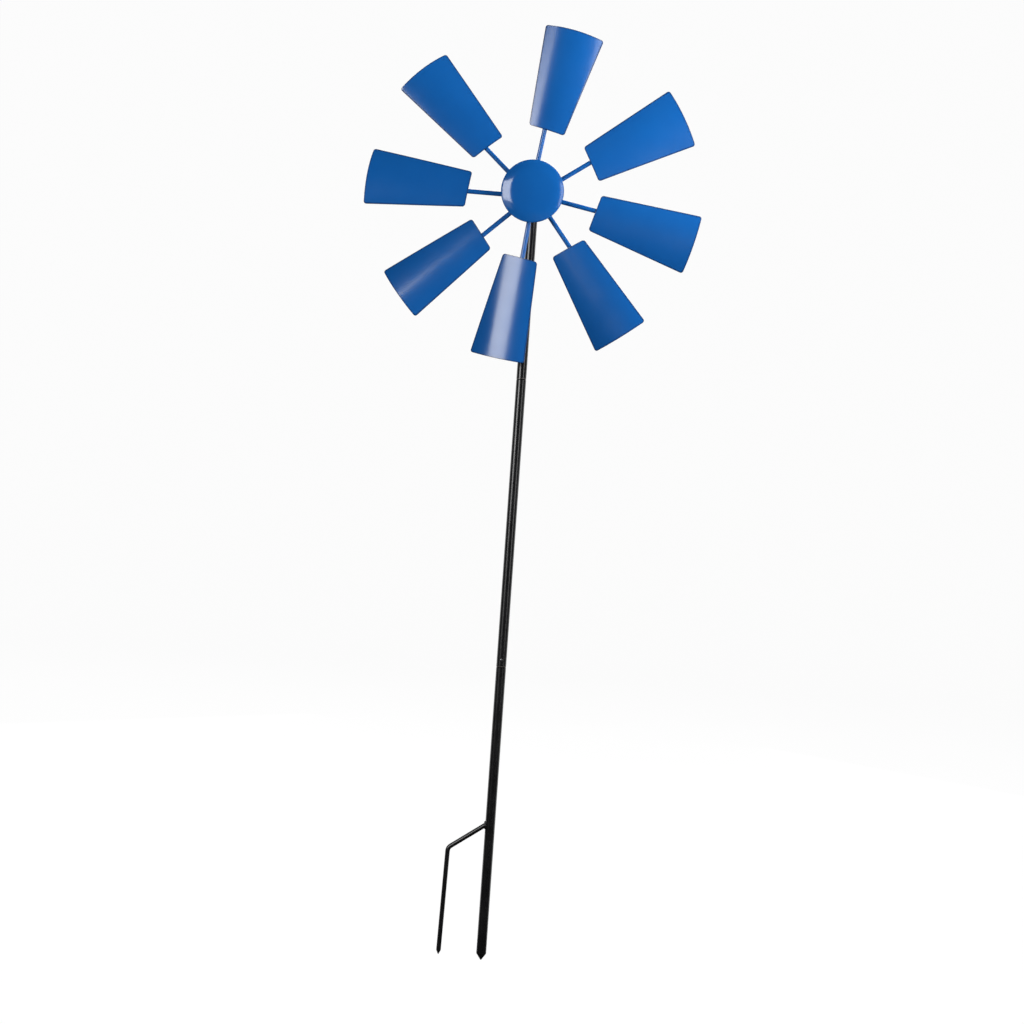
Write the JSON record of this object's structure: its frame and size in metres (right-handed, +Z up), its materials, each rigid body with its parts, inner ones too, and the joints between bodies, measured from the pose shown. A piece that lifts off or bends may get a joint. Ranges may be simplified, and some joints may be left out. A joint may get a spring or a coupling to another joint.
{
  "type": "garden windmill",
  "caption": "Garden windmill: tapered blue sheet blades on rods round a capped hub, spinning on an axle atop a black three-section pole with a two-prong ground stake.",
  "frame": {"origin": "on the pole's axis at ground level, 200 mm above the stake's tip", "axes": "+Z up along the pole, -Y towards the rotor's front"},
  "size_m": [0.5727, 0.1066, 1.5999],
  "materials": {
    "black_paint": "gloss",
    "blue_paint": "satin",
    "cap_paint": "gloss",
    "zinc": "zinc plated",
    "spring_steel": "bare",
    "nylon": "matte"
  },
  "bodies": {
    "stand": {"lower_pole": "black_paint", "stake_point": "black_paint", "prong": "black_paint", "prong_weld": "black_paint", "middle_pole": "black_paint", "upper_pole": "black_paint", "head_tube": "black_paint", "head_weld": "black_paint", "lower_snap_spring": "spring_steel", "upper_snap_spring": "spring_steel", "axle_bolt": "zinc", "head_washers": "zinc", "clamp_nut": "zinc", "front_washer": "zinc", "lock_nut": "zinc"},
    "rotor": {"hub_barrel": "blue_paint", "rear_bush": "nylon", "front_bush": "nylon", "hub_drum": "blue_paint", "barrel_weld": "blue_paint", "front_cap": "cap_paint", "cap_collar": "blue_paint", "cap_screws": "zinc", "spoke_1": "blue_paint", "spoke_2": "blue_paint", "spoke_3": "blue_paint", "spoke_4": "blue_paint", "spoke_5": "blue_paint", "spoke_6": "blue_paint", "spoke_7": "blue_paint", "spoke_8": "blue_paint", "spoke_washers": "zinc", "spoke_nuts": "zinc", "blade_1": "blue_paint", "blade_2": "blue_paint", "blade_3": "blue_paint", "blade_4": "blue_paint", "blade_5": "blue_paint", "blade_6": "blue_paint", "blade_7": "blue_paint", "blade_8": "blue_paint", "blade_welds": "blue_paint"},
    "lower_button": {"lower_snap_button": "spring_steel"},
    "upper_button": {"upper_snap_button": "spring_steel"}
  },
  "joints": [
    {"name": "rotor_spin", "type": "hinge", "parent": "stand", "child": "rotor", "pos_m": [0, -0.046, 1.112], "axis": [0, 1, 0], "continuous": true},
    {"name": "lower_button_press", "type": "slide", "parent": "stand", "child": "lower_button", "axis": [0, 1, 0], "range_m": [0, 0.0026], "stiffness_N_per_m": 2000, "springref_m": -0.0015, "deforming": ["lower_snap_spring"]},
    {"name": "upper_button_press", "type": "slide", "parent": "stand", "child": "upper_button", "axis": [0, -1, 0], "range_m": [0, 0.0026], "stiffness_N_per_m": 2000, "springref_m": -0.0015, "deforming": ["upper_snap_spring"]}
  ]
}
